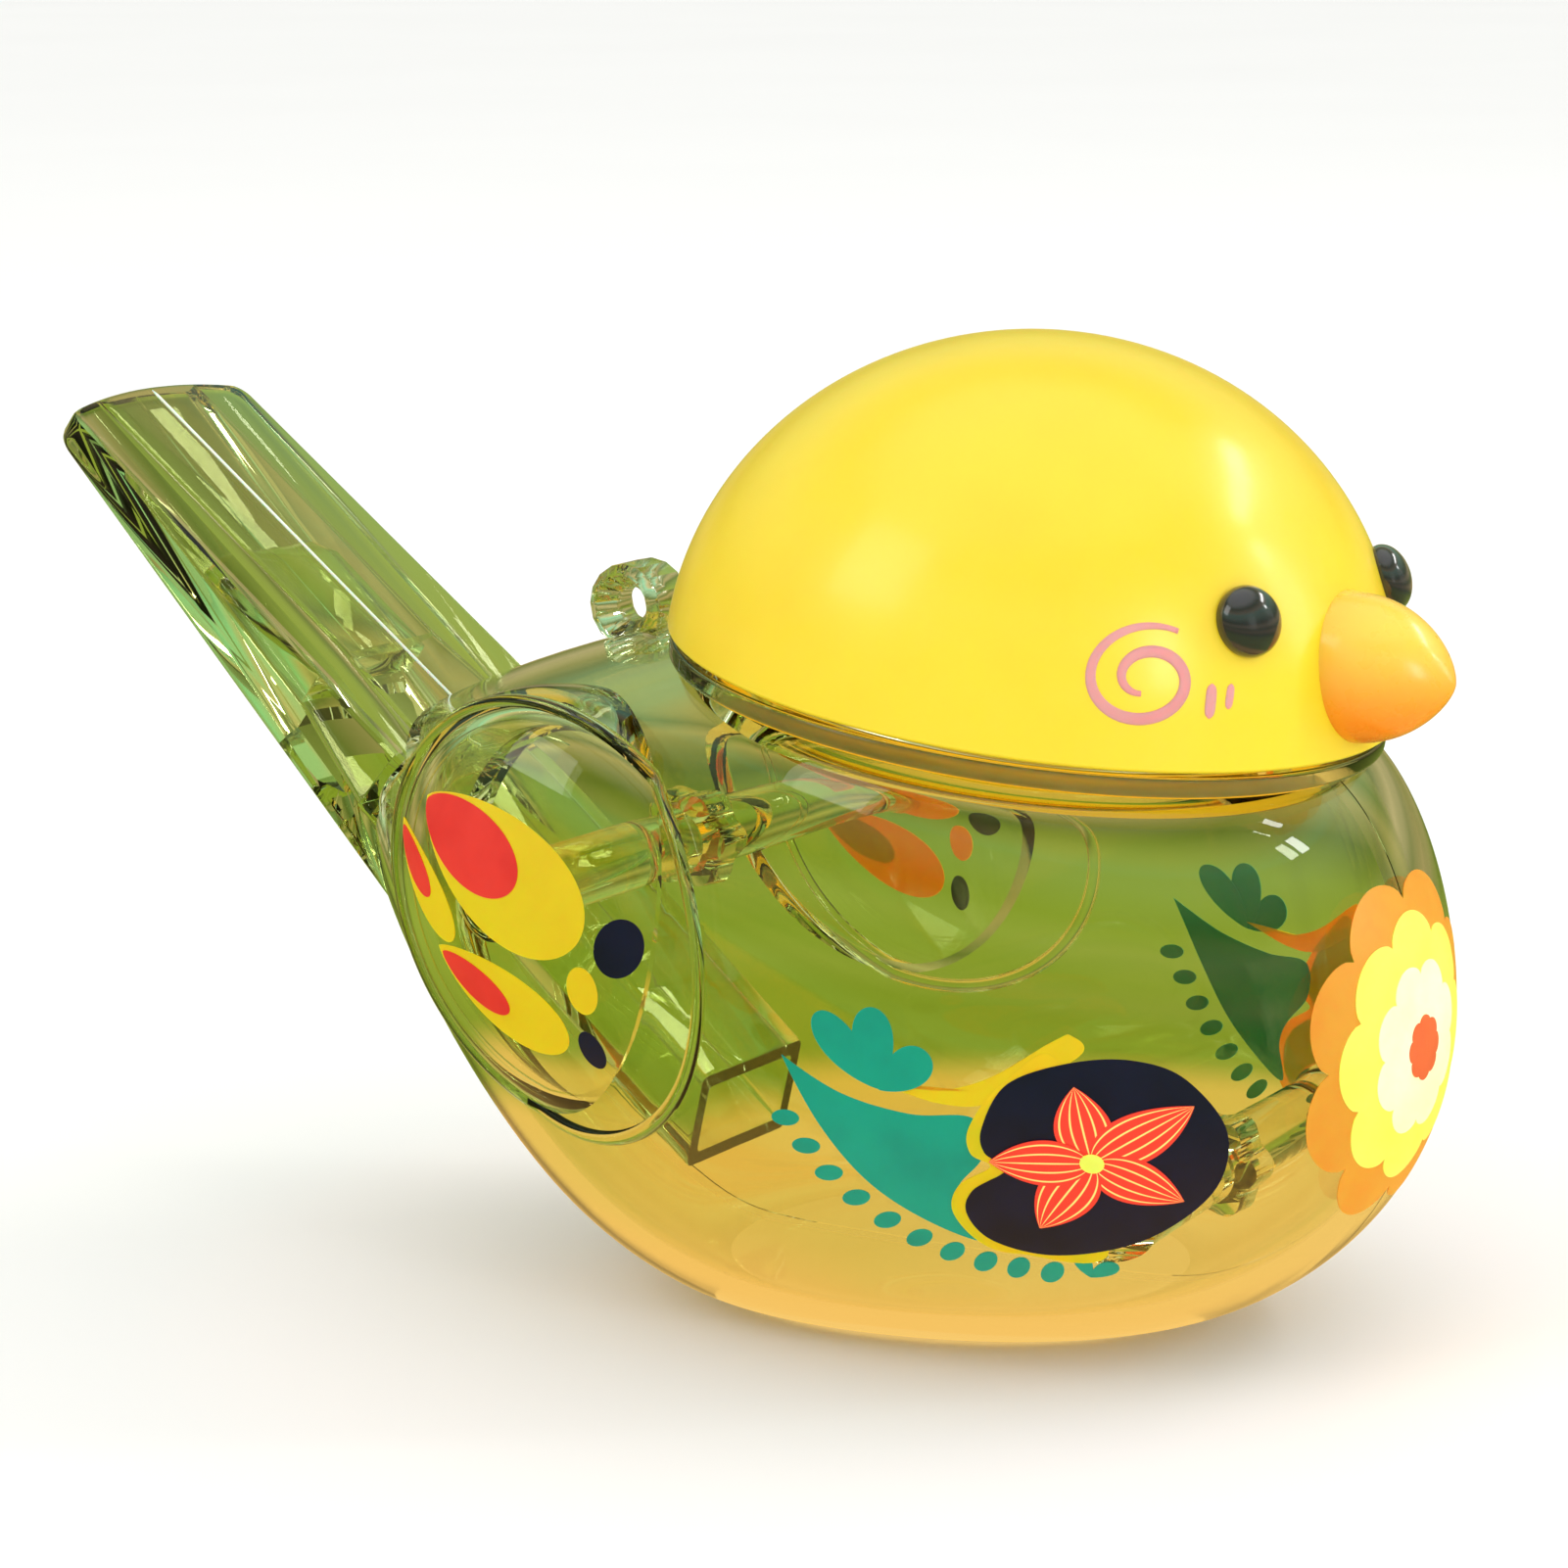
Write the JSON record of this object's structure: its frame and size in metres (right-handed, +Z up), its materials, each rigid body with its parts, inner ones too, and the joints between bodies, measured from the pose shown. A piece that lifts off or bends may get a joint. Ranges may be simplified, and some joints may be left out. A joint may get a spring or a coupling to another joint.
{
  "type": "bird-shaped water whistle",
  "caption": "Hand-held bird-shaped water whistle: clear hollow body with tail mouthpiece and wing bulges, lift-off sealed head, beak, bead eyes and a lanyard ring.",
  "frame": {"origin": "centre of the flat base, on the surface the bird stands on", "axes": "+X toward the beak, +Y to the bird's left, +Z up"},
  "size_m": [0.1004, 0.0508, 0.0613],
  "materials": {
    "clear_shell": "clear olive green turning amber toward the base, polished, with printed flowers and wing feathers",
    "clear_collar": "clear pale green, polished",
    "clear_insert": "clear green, polished",
    "head_yellow": "opaque sunny yellow, soft gloss, with pink cheek curls printed on it",
    "plug_yellow": "opaque warm yellow, plain moulded",
    "seal_rubber": "milky silicone",
    "beak_orange": "opaque orange, soft gloss",
    "eye_black": "black, high gloss"
  },
  "bodies": {
    "bottle": {"shell_right": "clear_shell", "shell_left": "clear_shell", "neck_collar": "clear_collar", "lanyard_ring": "clear_shell", "rear_post_socket": "clear_insert", "rear_post_pin": "clear_insert", "front_post_socket": "clear_insert", "front_post_pin": "clear_insert", "fipple_block": "clear_insert", "sound_duct": "clear_insert"},
    "seal": {"seal_ring": "seal_rubber"},
    "head": {"head_plug": "plug_yellow", "head_dome": "head_yellow", "beak": "beak_orange", "eye_right": "eye_black", "eye_left": "eye_black"}
  },
  "joints": [
    {"name": "head_lift", "type": "slide", "parent": "bottle", "child": "seal", "axis": [0.1513, 0, 0.9885], "range_m": [0, 0.03]},
    {"name": "head_turn", "type": "hinge", "parent": "seal", "child": "head", "pos_m": [0.003, 0, 0.0402], "axis": [0.1513, 0, 0.9885], "range_deg": [-150, 150]}
  ]
}
